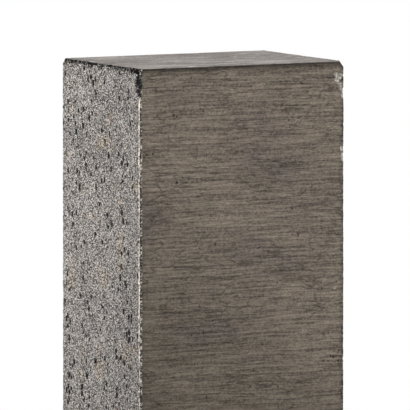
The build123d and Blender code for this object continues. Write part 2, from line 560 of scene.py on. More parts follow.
@dataclass(frozen=True)
class CastConcrete:
    """Pressed grey concrete with open-textured sides and drag-marked faces and ends."""

    open_texture: OpenTexture = OpenTexture()
    drag_marks: DragMarks = DragMarks()
    edge_wear_and_shade: EdgeWearAndShade = EdgeWearAndShade()
    open_colour: Colour = (0.186, 0.173, 0.161)
    open_blush: Colour = (0.209, 0.177, 0.143)
    blush: Clouds = Clouds(mm(19), 3.0, 0.6)
    blush_rise: Rise = Rise(0.56, 0.72)
    drag_olive: Colour = (0.192, 0.161, 0.129)
    drag_mauve: Colour = (0.179, 0.147, 0.128)
    patches: Clouds = Clouds(mm(80, 80, 48), 3.0, 0.55)
    patch_rise: Rise = Rise(0.32, 0.52)
    patch_tone: Span = (0.68, 1.32)
    end_colour: Colour = (0.238, 0.216, 0.200)
    streaks: Clouds = Clouds(mm(48, 15, 15), 3.0, 0.6)
    streak_tone: Span = (0.20, 1.80)
    chalk: Clouds = Clouds(mm(16, 6, 6), 3.0, 0.65)
    chalk_rise: Rise = Rise(0.60, 0.70)
    chalk_share: float = 0.45
    stone_colour: Colour = (0.640, 0.600, 0.530)
    stone: Clouds = Clouds(mm(1.6), share=0.6)
    stone_rise: Rise = Rise(0.35, 0.65, 0.30, 1.2)
    fin_colour: Colour = (0.580, 0.530, 0.465)
    fin_tone: Span = (0.1, 1.3)
    crumb: Sizes = mm(1.3)
    crumb_rise: Rise = Rise(0.68, 0.88, 0.97, 0.35)
    gap_depth: float = 0.8
    roughness: Span = (0.78, 0.94)
    specular_level: float = 0.12
    relief: float = 0.55 * MM

    def material(self, low: Vector, high: Vector) -> bpy.types.Material:
        """Make the material.

        Args:
            low: The lowest corner of the block.
            high: The highest corner of the block.

        Returns:
            The material, which reads the mesh's skin attribute for what lies where.
        """
        graph = Graph.of_material("cast_concrete")
        skin = graph.node("ShaderNodeAttribute", {"attribute_name": Skin.ATTRIBUTE}, {})
        parts = graph.node("ShaderNodeSeparateColor", {}, {0: skin.outputs["Color"]})
        is_open, hole_shadow, is_broken = (Value(graph, parts.outputs[i]) for i in range(3))
        is_end = Value(graph, skin.outputs["Alpha"])
        upright = 1.0 - is_end

        open_tone, open_height = self.open_texture.laid(graph)
        drag_tone, drag_height = self.drag_marks.laid(graph)
        gap, fin, face_shade_and_tone, open_falloff_shade = self.edge_wear_and_shade.laid(graph, low, high)
        gap = gap * upright
        stone_tone = graph.noise(self.stone).eased(self.stone_rise)
        _, crumb = graph.grains(self.crumb)

        # The broad faces' tone carries painted shade under the top edge and beside the long arrises.
        drag_colour = graph.tinted(self._drag_colour(graph, is_end, face_shade_and_tone), drag_tone)
        # Painted shade: the open faces' tone falls off downwards as the lamps' light would.
        open_colour = graph.tinted(self._open_colour(graph), open_tone * open_falloff_shade)
        colour = graph.colour_mix(is_open, drag_colour, open_colour)
        colour = graph.colour_mix(is_broken, colour, graph.tinted(self.stone_colour, stone_tone))
        fin_colour = graph.tinted(self.fin_colour, stone_tone.between(*self.fin_tone))
        # The pale fins are real paste, painted paler on the lamp-lit front and left as painted highlight.
        colour = graph.colour_mix(fin * upright, colour, fin_colour)
        # Painted shadow: the holes, chips and arris gaps are darkened, broken by pale crumbs.
        shadow = hole_shadow.larger(gap) * crumb.eased(self.crumb_rise)

        height = drag_height + (open_height - drag_height) * is_open - gap * self.gap_depth
        return graph.finish(
            Base_Color=graph.tinted(colour, 1.0 - shadow),
            Roughness=is_open.between(*self.roughness),
            Specular_IOR_Level=self.specular_level,
            Normal=graph.bump(height, self.relief),
        )

    def _drag_colour(self, graph: Graph, is_end: Value, face_shade_and_tone: Value) -> bpy.types.NodeSocket:
        """The colour of the broad faces and the ends.

        Args:
            graph: The graph to build in.
            is_end: How far the surface belongs to an end.
            face_shade_and_tone: The broad faces' tone.

        Returns:
            The colour's socket.
        """
        patches = graph.noise(self.patches)
        face = graph.colour_mix(patches.eased(self.patch_rise), self.drag_mauve, self.drag_olive)
        face = graph.tinted(face, face_shade_and_tone * patches.between(*self.patch_tone))
        streaks = graph.noise(self.streaks).between(*self.streak_tone)
        chalk = graph.noise(self.chalk).eased(self.chalk_rise) * self.chalk_share
        end = graph.colour_mix(chalk, graph.tinted(self.end_colour, streaks), self.stone_colour)
        return graph.colour_mix(is_end, face, end)

    def _open_colour(self, graph: Graph) -> bpy.types.NodeSocket:
        """The colour of the open faces, grey with a warmer blush, in the given graph."""
        blush = graph.noise(self.blush).eased(self.blush_rise)
        return graph.colour_mix(blush, self.open_colour, self.open_blush)


@dataclass(frozen=True)
class RolledSteel:
    """Hot-rolled bar with blue-grey mill scale and bloom of rust."""

    scale_colour: Colour = (0.090, 0.085, 0.085)
    rust_colour: Colour = (0.250, 0.095, 0.035)
    bloom: Clouds = Clouds(mm(9), 5.0, 0.62)
    speck: Clouds = Clouds(mm(1.1), 3.0, 0.6)
    speck_share: float = 0.35
    rust_rise: Rise = Rise(0.58, 0.74)
    speck_tone: Span = (0.65, 1.35)
    metal: Span = (0.75, 0.05)
    roughness: Span = (0.45, 0.85)
    rust_height: float = 0.6
    relief: float = 0.12 * MM

    def material(self) -> bpy.types.Material:
        """Make the material.

        Returns:
            The material.
        """
        graph = Graph.of_material("rolled_steel")
        speck = graph.noise(self.speck)
        rust = (graph.noise(self.bloom) + speck * self.speck_share).eased(self.rust_rise)
        colour = graph.colour_mix(rust, self.scale_colour, self.rust_colour)
        return graph.finish(
            Base_Color=graph.tinted(colour, speck.between(*self.speck_tone)),
            Metallic=rust.between(*self.metal),
            Roughness=rust.between(*self.roughness),
            Normal=graph.bump(speck + rust * self.rust_height, self.relief),
        )


@dataclass(frozen=True)
class AnnealedWire:
    """Soft black tying wire with a dull oxide skin."""

    oxide_colour: Colour = (0.060, 0.056, 0.053)
    rust_colour: Colour = (0.190, 0.080, 0.035)
    bloom: Clouds = Clouds(mm(5), 4.0, 0.6)
    rust_rise: Rise = Rise(0.55, 0.72)
    grain: Clouds = Clouds(mm(0.5), share=0.6)
    grain_tone: Span = (0.7, 1.3)
    metal: Span = (0.6, 0.1)
    roughness: Span = (0.5, 0.8)
    relief: float = 0.04 * MM

    def material(self) -> bpy.types.Material:
        """Make the material.

        Returns:
            The material.
        """
        graph = Graph.of_material("annealed_wire")
        rust = graph.noise(self.bloom).eased(self.rust_rise)
        grain = graph.noise(self.grain)
        colour = graph.colour_mix(rust, self.oxide_colour, self.rust_colour)
        return graph.finish(
            Base_Color=graph.tinted(colour, grain.between(*self.grain_tone)),
            Metallic=rust.between(*self.metal),
            Roughness=rust.between(*self.roughness),
            Normal=graph.bump(grain, self.relief),
        )


@dataclass(frozen=True)
class MouldedPlastic:
    """Grey recycled plastic with a faint flow grain and cement dust."""

    plastic_colour: Colour = (0.210, 0.212, 0.216)
    dust_colour: Colour = (0.430, 0.415, 0.390)
    flow: Clouds = Clouds(mm(2.5, 6, 6), 3.0, 0.55, 0.6)
    flow_tone: Span = (0.8, 1.2)
    dust: Clouds = Clouds(mm(1.4), 4.0, 0.65)
    dust_rise: Rise = Rise(0.5, 0.7)
    dust_share: float = 0.6
    dust_height: float = 0.4
    roughness: Span = (0.42, 0.77)
    relief: float = 0.08 * MM

    def material(self) -> bpy.types.Material:
        """Make the material.

        Returns:
            The material.
        """
        graph = Graph.of_material("moulded_plastic")
        flow = graph.noise(self.flow)
        dust = graph.noise(self.dust).eased(self.dust_rise)
        colour = graph.tinted(self.plastic_colour, flow.between(*self.flow_tone))
        return graph.finish(
            Base_Color=graph.colour_mix(dust * self.dust_share, colour, self.dust_colour),
            Roughness=dust.between(*self.roughness),
            Normal=graph.bump(flow + dust * self.dust_height, self.relief),
        )


@dataclass(frozen=True)
class StudioFloor:
    """Pale matt floor paint."""

    paint_colour: Colour = (0.74, 0.74, 0.74)
    cloud: Clouds = Clouds((0.35, 0.35, 0.35))
    cloud_tone: Span = (0.985, 1.015)
    roughness: Span = (0.7, 0.8)
    orange_peel: Clouds = Clouds(mm(6))
    relief: float = 0.05 * MM

    def material(self) -> bpy.types.Material:
        """Make the material.

        Returns:
            The material.
        """
        graph = Graph.of_material("floor_paint")
        cloud = graph.noise(self.cloud)
        return graph.finish(
            Base_Color=graph.tinted(self.paint_colour, cloud.between(*self.cloud_tone)),
            Roughness=cloud.between(*self.roughness),
            Normal=graph.bump(graph.noise(self.orange_peel), self.relief),
        )


# --- Mesh helpers --------------------------------------------------------------------------


class LatticeNoise:
    """Smooth seeded noise between random numbers on a repeating cubic lattice."""

    SIZE = 64

    def __init__(self, seed: int) -> None:
        """Fill the lattice.

        Args:
            seed: The seed that makes this noise its own.
        """
        self.table = np.random.default_rng(seed).uniform(-1.0, 1.0, (self.SIZE,) * 3)

    def at(self, points: np.ndarray, cell: float | Sequence[float]) -> np.ndarray:
        """Read the noise.

        Args:
            points: The places, one row each, in metres.
            cell: The lattice's spacing, in metres, one for all axes or one for each.

        Returns:
            A number from -1 to 1 for each place.
        """
        spots = points / np.asarray(cell)
        base = np.floor(spots).astype(np.int64)
        ease = spots - base
        ease = ease * ease * (3.0 - 2.0 * ease)
        total = np.zeros(len(points))
        for corner in np.ndindex(2, 2, 2):
            share = np.prod(np.where(corner, ease, 1.0 - ease), axis=1)
            i, j, k = ((base + corner) % self.SIZE).T
            total += share * self.table[i, j, k]
        return total


def smoothstep(values: np.ndarray, low: float, high: float) -> np.ndarray:
    """Ease from 0 at low to 1 at high.

    Args:
        values: What is compared.
        low: Where the rise begins.
        high: Where it ends; it may be below low for a fall.

    Returns:
        The eased share of each value.
    """
    share = np.clip((values - low) / (high - low), 0.0, 1.0)
    return share * share * (3.0 - 2.0 * share)


def new_object(name: str, points: np.ndarray, faces: np.ndarray | list) -> bpy.types.Object:
    """Add a smooth-shaded mesh object.

    Args:
        name: The piece's name.
        points: Its points, one row each, in metres.
        faces: The point numbers of each face.

    Returns:
        The new object, linked to the scene.
    """
    mesh = bpy.data.meshes.new(name)
    mesh.from_pydata(points.tolist(), [], faces.tolist() if isinstance(faces, np.ndarray) else faces)
    mesh.shade_smooth()
    made = bpy.data.objects.new(name, mesh)
    bpy.context.scene.collection.objects.link(made)
    return made


def settle(piece: bpy.types.Object) -> None:
    """Apply an object's modifiers to its mesh.

    Args:
        piece: The object.
    """
    graph = bpy.context.evaluated_depsgraph_get()
    done = bpy.data.meshes.new_from_object(piece.evaluated_get(graph), depsgraph=graph)
    piece.modifiers.clear()
    piece.data = done


def place_piece(piece: bpy.types.Object, finish: bpy.types.Material, slot: Slot, *nodes: str) -> None:
    """Dress a new piece, ride it on the post and let it stand for its CAD nodes.

    Args:
        piece: The piece.
        finish: Its material.
        slot: The record's material slot; not used.
        nodes: The CAD nodes that it stands for.
    """
    piece.data.materials.clear()
    piece.data.materials.append(finish)
    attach(piece, BODY)
    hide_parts(*nodes)
    faces = len(piece.data.polygons)
    log.info("%s: %d faces, for %s", piece.name, faces, ", ".join(nodes))


# --- The concrete --------------------------------------------------------------------------


@dataclass(frozen=True)
class Bite:
    """A ball that takes concrete away where it cuts into the skin; hole is the painted shade in it."""

    centre: Sizes
    radius: float
    hole: float = 0.0
    broken: float = 0.0


@dataclass(frozen=True)
class Holes:
    """Air holes scattered over one kind of face.

    Sunk is how far in the balls sit, from 0, just touching the face, to 1, at their middle.
    """

    count: int
    radii: Span
    sunk: float


@dataclass(frozen=True)
class ChipGroup:
    """Pale chips down an arris, between two depths below the upper end."""

    upper_mm: float
    lower_mm: float
    spread_mm: float
    count: int


@dataclass
class WearAndShade:
    """The air holes and chips of the concrete, about the block's middle, with painted shade in them.

    Sizes whose names end in mm are in millimetres, and the other lengths are in metres. How far a
    ball stands out or sits in is a share of its radius.
    """

    half: np.ndarray
    draws: np.random.Generator
    rim: float = 2.5 * MM
    size_skew: float = 2.2
    air_hole_shade: float = 0.9
    side_holes: Holes = Holes(170, (1.1 * MM, 2.5 * MM), 0.8)
    face_holes: Holes = Holes(30, (0.4 * MM, 0.9 * MM), 0.6)
    end_holes: Holes = Holes(16, (0.5 * MM, 1.0 * MM), 0.6)
    pock_groups: int = 45
    pocks: tuple[int, int] = (2, 7)
    pock_zone: float = 0.94
    pock_radii_mm: Span = (0.4, 0.8)
    pock_spread: Span = (3.2 * MM, 1.8 * MM)
    pock_sunk: float = 0.3
    pale_share: float = 0.3
    pale_light: float = 0.6
    arris_chips: int = 60
    arris_radii_mm: Span = (0.6, 1.8)
    arris_out: Span = (0.4, 0.75)
    arris_chip_shade: float = 0.3
    broken_share: float = 0.4
    end_pits: int = 60
    end_radii_mm: Span = (0.8, 1.8)
    end_out: Span = (0.0, 0.4)
    end_sunk: Span = (-0.2, 0.9)
    crevice_bites: int = 90
    crevice_length_mm: float = 19.0
    crevice_radii_mm: Span = (0.8, 2.4)
    crevice_skew: Span = (1.0, 1.8)
    crevice_width_mm: float = 9.0
    crevice_taper: float = 0.3
    crevice_sunk: Span = (0.2, 0.6)
    corner_way: Sizes = (0.74, -0.26, 0.62)
    corner_radius_mm: float = 14.0
    corner_depth_mm: float = 2.6
    corner_cut_shade: float = 0.5
    chip_groups: tuple[ChipGroup, ...] = (ChipGroup(8.5, 25.0, 8.0, 28), ChipGroup(60.0, 71.0, 1.0, 8))
    chip_radii_mm: Span = (1.0, 2.6)
    chip_out: Span = (0.5, 0.8)
    edge_chip: Bite = Bite(mm(1.6, -0.6, -21.0), 2.4 * MM, broken=0.3)
    far_corner: Bite = Bite(mm(-1.4, 1.4, 1.2), 5.0 * MM, hole=0.2)

    def bites(self) -> list[Bite]:
        """Draw every air hole and chip.

        Returns:
            The bites, always in the same order.
        """
        made = [bite for side in (-1, 1) for bite in self._holes(self.side_holes, 0, side)]
        for side in (-1, 1):
            made += self._holes(self.face_holes, 1, side)
            made += self._pocks(side)
            made += self._holes(self.end_holes, 2, side)
        for side_x in (-1, 1):
            for side_y in (-1, 1):
                made += self._arris_chips(side_x, side_y)
            for end in (-1, 1):
                made += self._end_pits(side_x, end)
        return made + self._crevice() + self._corners()

    def _holes(self, holes: Holes, axis: int, side: int) -> list[Bite]:
        """Air holes scattered over one face, darkened as painted shade.

        Args:
            holes: Their number and sizes.
            axis: The axis that the face crosses.
            side: -1 for the face at the low end of the axis, 1 for the high end.

        Returns:
            The holes.
        """
        made = []
        least, greatest = holes.radii
        for _ in range(holes.count):
            radius = least + (greatest - least) * self.draws.random() ** self.size_skew
            centre = self.draws.uniform(-(self.half - self.rim), self.half - self.rim)
            centre[axis] = side * (self.half[axis] + radius * (1.0 - holes.sunk))
            made.append(Bite(tuple(centre), radius, hole=self.air_hole_shade))
        return made

    def _pocks(self, side: int) -> list[Bite]:
        """Small groups of pinholes on one broad face, some pale, the rest darkened as painted shade.

        Args:
            side: -1 for the front face, 1 for the back.

        Returns:
            The pinholes.
        """
        made = []
        for _ in range(self.pock_groups):
            x, z = self.draws.uniform(-self.pock_zone, self.pock_zone, 2) * self.half[[0, 2]]
            for _ in range(self.draws.integers(*self.pocks)):
                radius = self.draws.uniform(*self.pock_radii_mm) * MM
                spot_x = x + self.draws.normal(0.0, self.pock_spread[0])
                spot_z = z + self.draws.normal(0.0, self.pock_spread[1])
                spot = (spot_x, side * (self.half[1] + radius * self.pock_sunk), spot_z)
                if self.draws.random() < self.pale_share:
                    made.append(Bite(spot, radius, broken=self.pale_light))
                else:
                    made.append(Bite(spot, radius, hole=self.air_hole_shade))
        return made

    def _arris_chips(self, side_x: int, side_y: int) -> list[Bite]:
        """Small chips along one long arris, darkened a little as painted shade.

        Args:
            side_x: The arris's side along X.
            side_y: Its side along Y.

        Returns:
            The chips.
        """
        made = []
        for _ in range(self.arris_chips):
            radius = self.draws.uniform(*self.arris_radii_mm) * MM
            out = radius * self.draws.uniform(*self.arris_out)
            height = self.draws.uniform(-self.half[2], self.half[2])
            spot = (side_x * (self.half[0] + out), side_y * (self.half[1] + out), height)
            broken = float(self.draws.random() < self.broken_share)
            made.append(Bite(spot, radius, hole=self.arris_chip_shade, broken=broken))
        return made

    def _end_pits(self, side_x: int, end: int) -> list[Bite]:
        """The pits that make the edge between an open face and an end ragged, painted dark as shade.

        Args:
            side_x: The open face's side along X.
            end: -1 for the lower end, 1 for the upper.

        Returns:
            The pits.
        """
        made = []
        for _ in range(self.end_pits):
            radius = self.draws.uniform(*self.end_radii_mm) * MM
            x = side_x * (self.half[0] + radius * self.draws.uniform(*self.end_out))
            z = end * (self.half[2] - radius * self.draws.uniform(*self.end_sunk))
            y = self.draws.uniform(-self.half[1], self.half[1])
            made.append(Bite((x, y, z), radius, hole=1.0))
        return made

    def _crevice(self) -> list[Bite]:
        """The crevice down the top of the front left arris.

        Returns:
            Its bites, which reach less far aside the lower they are, painted fully dark as shade.
        """
        x, y, top = self.half
        made = []
        for _ in range(self.crevice_bites):
            down = self.draws.uniform(0.0, self.crevice_length_mm)
            radius = self.draws.uniform(*self.crevice_radii_mm)
            width = self.crevice_width_mm - self.crevice_taper * down
            aside = self.draws.beta(*self.crevice_skew) * width
            out = self.draws.uniform(*self.crevice_sunk) * radius
            spot = (-x - out * MM, -y + aside * MM, top - down * MM)
            made.append(Bite(spot, radius * MM, hole=1.0))
        return made

    def _corners(self) -> list[Bite]:
        """The broken front right corner, the pale chips below it and the worn back left corner.

        Returns:
            Their bites.
        """
        x, y, top = self.half
        out = (self.corner_radius_mm - self.corner_depth_mm) * MM
        centre = Vector((x, -y, top)) + Vector(self.corner_way).normalized() * out
        # Painted shade darkens the broken corner's cut face here and the worn back left corner below.
        made = [Bite(tuple(centre), self.corner_radius_mm * MM, hole=self.corner_cut_shade)]
        for group in self.chip_groups:
            for _ in range(group.count):
                down = self.draws.uniform(group.upper_mm, group.lower_mm)
                radius = self.draws.uniform(*self.chip_radii_mm)
                aside = group.spread_mm * (group.lower_mm - down) / (group.lower_mm - group.upper_mm)
                aside *= self.draws.random()
                out = radius * self.draws.uniform(*self.chip_out)
                spot = (x - aside * MM, -y - out * MM, top - down * MM)
                made.append(Bite(spot, radius * MM, broken=1.0))
        for bite, corner in ((self.edge_chip, (x, -y, top)), (self.far_corner, (-x, y, top))):
            centre = np.array(corner) + bite.centre
            made.append(Bite(tuple(centre), bite.radius, bite.hole, bite.broken))
        return made


@dataclass
class Skin:
    """The outer skin of the concrete, grown about the block's middle."""

    ATTRIBUTE = "skin"
    BAKE_MAP = "OFBake"

    low: Vector
    high: Vector
    seed: int = 11
    fine_step: float = 0.35 * MM
    rim_lines: Sizes = (0.0, 1.0, 2.05, 3.2, 4.5, 6.2, 8.4)
    side_step: float = 0.8 * MM
    face_step: float = 1.3 * MM
    upper_step: float = 0.8 * MM
    lower_step: float = 1.5 * MM
    upper_zone: float = 300 * MM
    long_arris: float = 0.4 * MM
    end_arris: float = 0.45 * MM
    arris_zone: Span = (6 * MM, 2 * MM)
    arris_unevenness: float = 0.4
    arris_wave: float = 9 * MM
    open_relief: float = 0.20 * MM
    open_tilt: Span = (0.4, 0.85)
    lump_sizes: Span = (2.6 * MM, 6.1 * MM)
    swell_size: float = 31 * MM
    drag_relief: float = 0.05 * MM
    drag_size: Sizes = mm(21, 3.1, 3.1)
    burr_height: float = 0.2 * MM
    burr_zone: Span = (1.5 * MM, 0.3 * MM)
    burr_sizes: Span = (3.3 * MM, 17 * MM)
    burr_mean: float = 0.6
    burr_shares: Span = (0.5, 0.4)
    burr_highest: float = 1.4
    ball_span: float = 1.3
    ball_unevenness: float = 0.22
    ball_most_uneven: float = 0.5 * MM
    ball_lump: float = 0.7
    ball_largest_lump: float = 2 * MM
    ball_lean: float = 0.3
    hole_rim: float = 0.3
    hole_widest_rim: float = 0.35 * MM
    chip_rim: float = 0.15 * MM
    open_mark: Span = (0.45, 0.8)
    end_mark: Span = (0.5, 0.85)
    mark_blur: float = 0.12
    mark_blur_size: float = 2.0 * MM
    plain_share: float = 0.02
    face_budget: int = 196_000
    gap: float = 4 * MM

    def __post_init__(self) -> None:
        """Work out the half sizes and seed the noise."""
        self.noise = LatticeNoise(self.seed)
        self.centre = np.array((self.low + self.high) / 2)
        self.half = np.array((self.high - self.low) / 2)

    def build(self, name: str) -> bpy.types.Object:
        """Grow the skin.

        Args:
            name: The piece's name.

        Returns:
            The closed mesh object, with its skin attribute and its unwrapping.
        """
        points, quads = self._lattice()
        shaped, outward = self._rounded(points)
        shaped = shaped + outward * self._relief(shaped, outward)[:, None]
        hole, broken = self._bite(shaped)
        piece = new_object(name, shaped + self.centre, quads)
        self._mark(piece.data, shaped, outward, hole, broken)
        self._thin(piece, hole, broken, 2 * len(quads))
        self._unwrap(piece.data)
        return piece

    def _steps(self, half: float, step: float) -> np.ndarray:
        """Lines across one axis, closer together near both ends.

        Args:
            half: Half the size along the axis.
            step: The spacing away from the ends.

        Returns:
            The rising coordinates of the lines.
        """
        rim = self.fine_step * np.array(self.rim_lines)
        middle = half - rim[-1]
        count = max(2, round(2 * middle / step) + 1)
        return np.concatenate([rim[:-1] - half, np.linspace(-middle, middle, count), half - rim[-2::-1]])

    def _heights(self) -> np.ndarray:
        """The lines up the post, closer together in its upper zone.

        Returns:
            The rising coordinates of the lines.
        """
        half = self.half[2]
        lines = self._steps(half, self.upper_step)
        upper = lines[lines > half - self.upper_zone]
        foot = lines[: len(self.rim_lines)]
        count = round((upper[0] - foot[-1]) / self.lower_step)
        return np.concatenate([foot, np.linspace(foot[-1], upper[0], count + 1)[1:-1], upper])

    def _lattice(self) -> tuple[np.ndarray, np.ndarray]:
        """The box's surface as a grid of four-sided faces.

        Returns:
            The points about the box's middle, and the faces' point numbers.
        """
        axes = [
            self._steps(self.half[0], self.face_step),
            self._steps(self.half[1], self.side_step),
            self._heights(),
        ]
        counts = [len(axis) for axis in axes]
        numbers = np.arange(math.prod(counts)).reshape(counts)
        faces = []
        for axis in range(3):
            for end, turned in ((0, axis != 1), (-1, axis == 1)):
                sheet = np.take(numbers, end, axis=axis)
                quad = np.stack([sheet[:-1, :-1], sheet[1:, :-1], sheet[1:, 1:], sheet[:-1, 1:]], -1)
                quad = quad.reshape(-1, 4)
                faces.append(quad[:, ::-1] if turned else quad)
        quads = np.concatenate(faces)
        used, quads = np.unique(quads, return_inverse=True)
        index = np.unravel_index(used, counts)
        points = np.stack([axis[i] for axis, i in zip(axes, index)], 1)
        return points, quads.reshape(-1, 4)

    def _rounded(self, points: np.ndarray) -> tuple[np.ndarray, np.ndarray]:
        """Round the box's edges by a radius that changes along them.

        Args:
            points: Points on the sharp box.

        Returns:
            The rounded points and the way outwards at each.
        """
        near_side = smoothstep(self.half[0] - np.abs(points[:, 0]), *self.arris_zone)
        uneven = 1.0 + self.arris_unevenness * self.noise.at(points, self.arris_wave)
        radius = (self.end_arris + (self.long_arris - self.end_arris) * near_side) * uneven
        reach = self.half - radius[:, None]
        core = np.clip(points, -reach, reach)
        away = points - core
        outward = away / np.linalg.norm(away, axis=1)[:, None]
        return core + outward * radius[:, None], outward

    def _relief(self, points: np.ndarray, outward: np.ndarray) -> np.ndarray:
        """How far the skin stands proud of its rounded shape.

        Args:
            points: Points on the rounded shape.
            outward: The way outwards at each.

        Returns:
            The height at each point, in metres.
        """
        is_open = smoothstep(np.abs(outward[:, 0]), *self.open_tilt)
        small, large = (self.noise.at(points, size) for size in self.lump_sizes)
        swell = self.noise.at(points, self.swell_size)
        marks = self.noise.at(points, self.drag_size)
        height = is_open * self.open_relief * (small + large + swell) / 2
        height += (1.0 - is_open) * self.drag_relief * (marks + swell)
        return height + self._burr(points)

    def _burr(self, points: np.ndarray) -> np.ndarray:
        """The thin ragged fin that the mould's joint leaves along the long arrises.

        Args:
            points: Points on the rounded shape.

        Returns:
            The fin's height at each point, in metres.
        """
        to_arris = np.hypot(*(self.half[:2] - np.abs(points[:, :2])).T)
        along = points * np.array([0.0, 0.0, 1.0]) + np.sign(points) * self.half * [1, 1, 0]
        short, long = (self.noise.at(along, size) for size in self.burr_sizes)
        ragged = self.burr_mean + self.burr_shares[0] * short + self.burr_shares[1] * long
        height = self.burr_height * np.clip(ragged, 0.0, self.burr_highest)
        return height * smoothstep(to_arris, *self.burr_zone)

    def _bite(self, points: np.ndarray) -> tuple[np.ndarray, np.ndarray]:
        """Take air holes and chips out of the skin, changing the points in place.

        A point inside a ball moves straight inwards until it lies on the ball's far side.

        Args:
            points: Points of the skin.

        Returns:
            How much painted hole shade each point takes, and how much of a chip.
        """
        hole = np.zeros(len(points))
        broken = np.zeros(len(points))
        order = np.argsort(points[:, 2], kind="stable")
        heights = points[order, 2]
        for bite in WearAndShade(self.half, np.random.default_rng(self.seed)).bites():
            centre = np.array(bite.centre)
            span = bite.radius * self.ball_span
            first, last = np.searchsorted(heights, (centre[2] - span, centre[2] + span))
            near = order[first:last]
            away = points[near] - centre
            reach = np.linalg.norm(away, axis=1)
            close = reach < span
            near, away, reach = near[close], away[close], reach[close]
            if not len(near):
                continue
            uneven = min(self.ball_unevenness * bite.radius, self.ball_most_uneven)
            lump = min(self.ball_lump * bite.radius, self.ball_largest_lump)
            radius = bite.radius + uneven * self.noise.at(points[near], lump)
            proud = np.clip(np.abs(centre) - self.half + self.ball_lean * bite.radius, 0.0, None)
            inward = -proud * np.sign(centre) / np.linalg.norm(proud)
            along = away @ inward
            inside = np.clip(radius**2 - reach**2, 0.0, None)
            deep = np.where(inside > 0, np.sqrt(along**2 + inside) - along, 0.0)
            points[near] += deep[:, None] * inward
            # The hole share is the painted shade that the shader lays in the hollow.
            share = smoothstep(deep, 0.0, min(self.hole_rim * bite.radius, self.hole_widest_rim))
            hole[near] = np.maximum(hole[near], share * bite.hole)
            share = smoothstep(deep, 0.0, self.chip_rim)
            broken[near] = np.maximum(broken[near], share * bite.broken)
        return hole, broken

    def _mark(self, mesh: bpy.types.Mesh, points: np.ndarray, outward: np.ndarray,
              hole: np.ndarray, broken: np.ndarray) -> None:
        """Write what lies where into the mesh's skin attribute.

        Args:
            mesh: The mesh.
            points: Its points about the block's middle.
            outward: The way outwards at each.
            hole: How much painted hole shade each takes.
            broken: How much of a chip each is in.
        """
        blur = self.mark_blur * self.noise.at(points, self.mark_blur_size)
        is_open = smoothstep(np.abs(outward[:, 0]) + blur, *self.open_mark)
        is_end = smoothstep(np.abs(outward[:, 2]), *self.end_mark)
        skin = mesh.attributes.new(self.ATTRIBUTE, "FLOAT_COLOR", "POINT")
        skin.data.foreach_set("color", np.stack([is_open, hole, broken, is_end], 1).ravel())

    def _thin(self, piece: bpy.types.Object, hole: np.ndarray, broken: np.ndarray, count: int) -> None:
        """Thin the mesh to its budget of faces, away from the holes and chips.

        Args:
            piece: The piece.
            hole: How much of a hole each point is in.
            broken: How much of a chip each point is in.
            count: The mesh's number of triangles.
        """
        plain = np.flatnonzero((hole < self.plain_share) & (broken < self.plain_share))
        group = piece.vertex_groups.new(name="plain")
        group.add(plain.tolist(), 1.0, "REPLACE")
        thin = piece.modifiers.new("thin", "DECIMATE")
        thin.ratio = self.face_budget / count
        thin.vertex_group = group.name
        settle(piece)

    def _unwrap(self, mesh: bpy.types.Mesh) -> None:
        """Lay the six sides out flat beside each other for the texture bake.

        Args:
            mesh: The thinned skin.
        """
        count = len(mesh.polygons)
        middles = np.empty(count * 3)
        mesh.polygons.foreach_get("center", middles)
        middles = middles.reshape(-1, 3) - self.centre
        to_plane = np.stack([self.half - middles, self.half + middles], 1).reshape(count, 6)
        side = np.argmin(to_plane, axis=1)
        points = np.empty(len(mesh.vertices) * 3)
        mesh.vertices.foreach_get("co", points)
        points = points.reshape(-1, 3) - self.centre
        corners = np.empty(len(mesh.loops), dtype=np.int32)
        mesh.loops.foreach_get("vertex_index", corners)
        totals = np.empty(count, dtype=np.int32)
        mesh.polygons.foreach_get("loop_total", totals)
        corner_side = np.repeat(side, totals)
        place = points[corners] + self.half
        width, depth, height = 2 * self.half
        gap = self.gap
        starts = {3: 0.0, 0: depth + gap, 4: 2 * depth + 2 * gap, 1: 2 * depth + width + 3 * gap}
        flat = np.empty((len(corners), 2))
        for number in range(6):
            across, up = {0: (1, 2), 1: (0, 2), 2: (0, 1)}[number % 3]
            own = corner_side == number
            start_x = starts.get(number, 2 * (depth + width) + 4 * gap)
            start_y = (depth + gap) * (number == 5)
            flat[own, 0] = place[own, across] + start_x
            flat[own, 1] = place[own, up] + start_y
        flat = (flat + gap) / (height + 2 * gap)
        unwrapped = mesh.uv_layers.new(name=self.BAKE_MAP)
        unwrapped.data.foreach_set("uv", flat.ravel())


@dataclass
class ConcreteBody:
    """The cast block."""

    finish: CastConcrete = CastConcrete()

    def build(self) -> None:
        """Build and dress the block."""
        low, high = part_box("concrete_body")
        piece = Skin(low, high).build("concrete_post")
        place_piece(piece, self.finish.material(low, high), Slot.CONCRETE, "concrete_body")


# --- The cage ------------------------------------------------------------------------------


